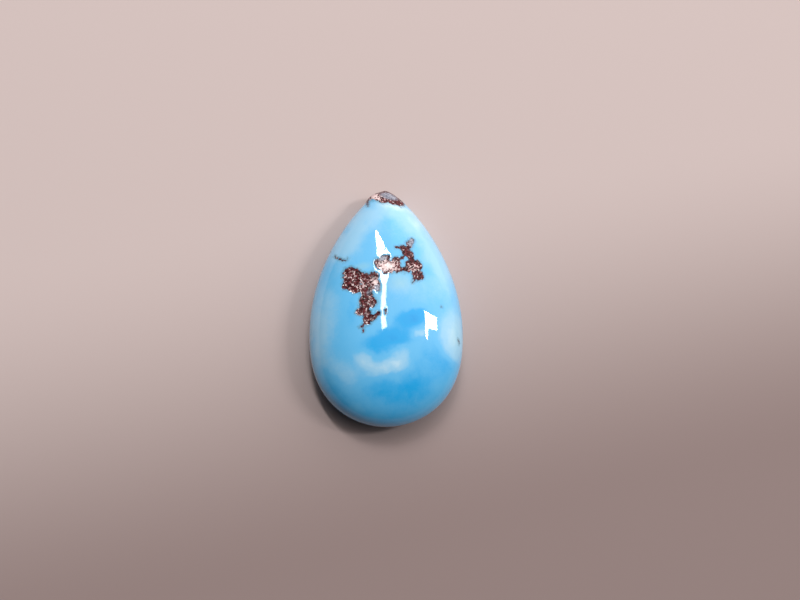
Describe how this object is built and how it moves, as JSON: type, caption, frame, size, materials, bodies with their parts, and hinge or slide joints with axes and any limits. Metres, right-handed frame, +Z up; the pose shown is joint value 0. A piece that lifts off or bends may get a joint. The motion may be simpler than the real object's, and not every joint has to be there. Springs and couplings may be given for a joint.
{
  "type": "turquoise pear cabochon",
  "caption": "Polished pear-shaped turquoise cabochon, one solid stone with a domed top, a flat ground back, a slightly sunk patch of brown host rock on the dome and a brown tip.",
  "frame": {"origin": "under the middle of the stone's length and width, on the flat back", "axes": "+Y along the stone towards the tip, +Z up through the dome, +X across the width"},
  "size_m": [0.013, 0.02, 0.005],
  "materials": {
    "turquoise": "polished"
  },
  "bodies": {
    "root": {"cabochon": "turquoise"}
  },
  "joints": []
}
